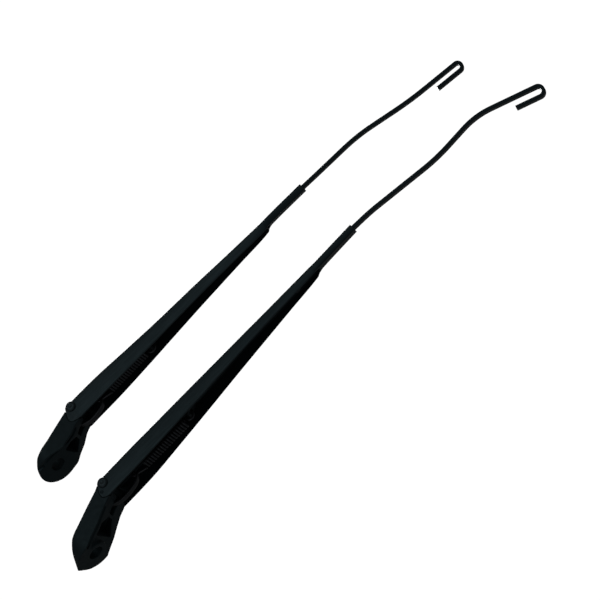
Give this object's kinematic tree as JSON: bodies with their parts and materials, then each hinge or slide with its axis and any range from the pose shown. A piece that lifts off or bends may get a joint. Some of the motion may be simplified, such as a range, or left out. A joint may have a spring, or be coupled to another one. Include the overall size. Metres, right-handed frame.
{
  "type": "windshield wiper arm pair",
  "caption": "Pair of black windshield wiper arms: cast mounting heads, tapered steel channels with tension springs, and flat rods ending in blade hooks.",
  "frame": {"origin": "middle of the passenger head's spindle bore, on the head's underside", "axes": "+X along both arms from head to blade hook, +Y from the passenger arm to the driver arm, +Z away from the glass; both hinge axes lie along Y"},
  "size_m": [0.5366, 0.1627, 0.0533],
  "materials": {
    "cast_black": "satin black powder coat on die-cast zinc",
    "pressed_black": "satin black paint on pressed steel",
    "rivet_black": "satin black, slightly worn",
    "spring_steel": "dark oiled spring steel",
    "nylon_black": "matt black nylon"
  },
  "bodies": {
    "heads": {"passenger_head": "cast_black", "passenger_link_pin": "rivet_black", "passenger_hinge_bush_near": "nylon_black", "passenger_hinge_bush_far": "nylon_black", "driver_head": "cast_black", "driver_link_pin": "rivet_black", "driver_hinge_bush_near": "nylon_black", "driver_hinge_bush_far": "nylon_black"},
    "passenger_arm": {"passenger_channel": "pressed_black", "passenger_rod": "pressed_black", "passenger_hinge_rivet": "rivet_black", "passenger_rod_rivet": "rivet_black"},
    "passenger_link": {"passenger_spring_link": "spring_steel"},
    "passenger_spring": {"passenger_spring": "spring_steel"},
    "driver_arm": {"driver_channel": "pressed_black", "driver_rod": "pressed_black", "driver_hinge_rivet": "rivet_black", "driver_rod_rivet": "rivet_black"},
    "driver_link": {"driver_spring_link": "spring_steel"},
    "driver_spring": {"driver_spring": "spring_steel"}
  },
  "joints": [
    {"name": "passenger_arm_lift", "type": "hinge", "parent": "heads", "child": "passenger_arm", "pos_m": [0.0386, 0, 0.0226], "axis": [0, -1, 0], "range_deg": [0, 60], "stiffness_Nm_per_rad": 0.35, "springref_deg": -34.38},
    {"name": "passenger_link_swing", "type": "hinge", "parent": "heads", "child": "passenger_link", "pos_m": [0.0332, 0, 0.0142], "axis": [0, -1, 0], "range_deg": [0, 62]},
    {"name": "passenger_spring_swing", "type": "hinge", "parent": "passenger_arm", "child": "passenger_spring", "pos_m": [0.11726, 0, 0.01642], "axis": [0, -1, 0], "range_deg": [-8, 0], "deforming": ["passenger_spring"]},
    {"name": "driver_arm_lift", "type": "hinge", "parent": "heads", "child": "driver_arm", "pos_m": [0.0077, 0.1277, 0.0328], "axis": [0, -1, 0], "range_deg": [0, 50], "stiffness_Nm_per_rad": 0.35, "springref_deg": -34.38},
    {"name": "driver_link_swing", "type": "hinge", "parent": "heads", "child": "driver_link", "pos_m": [0.0008, 0.1277, 0.0236], "axis": [0, -1, 0], "range_deg": [0, 51.4]},
    {"name": "driver_spring_swing", "type": "hinge", "parent": "driver_arm", "child": "driver_spring", "pos_m": [0.09696, 0.1277, 0.03022], "axis": [0, -1, 0], "range_deg": [-7.6, 0], "deforming": ["driver_spring"]}
  ],
  "couplings": [
    {"joint": "passenger_link_swing", "follows": "passenger_arm_lift", "ratio": 0.901},
    {"joint": "passenger_spring_swing", "follows": "passenger_arm_lift", "ratio": -0.099},
    {"joint": "driver_link_swing", "follows": "driver_arm_lift", "ratio": 0.898},
    {"joint": "driver_spring_swing", "follows": "driver_arm_lift", "ratio": -0.102}
  ]
}
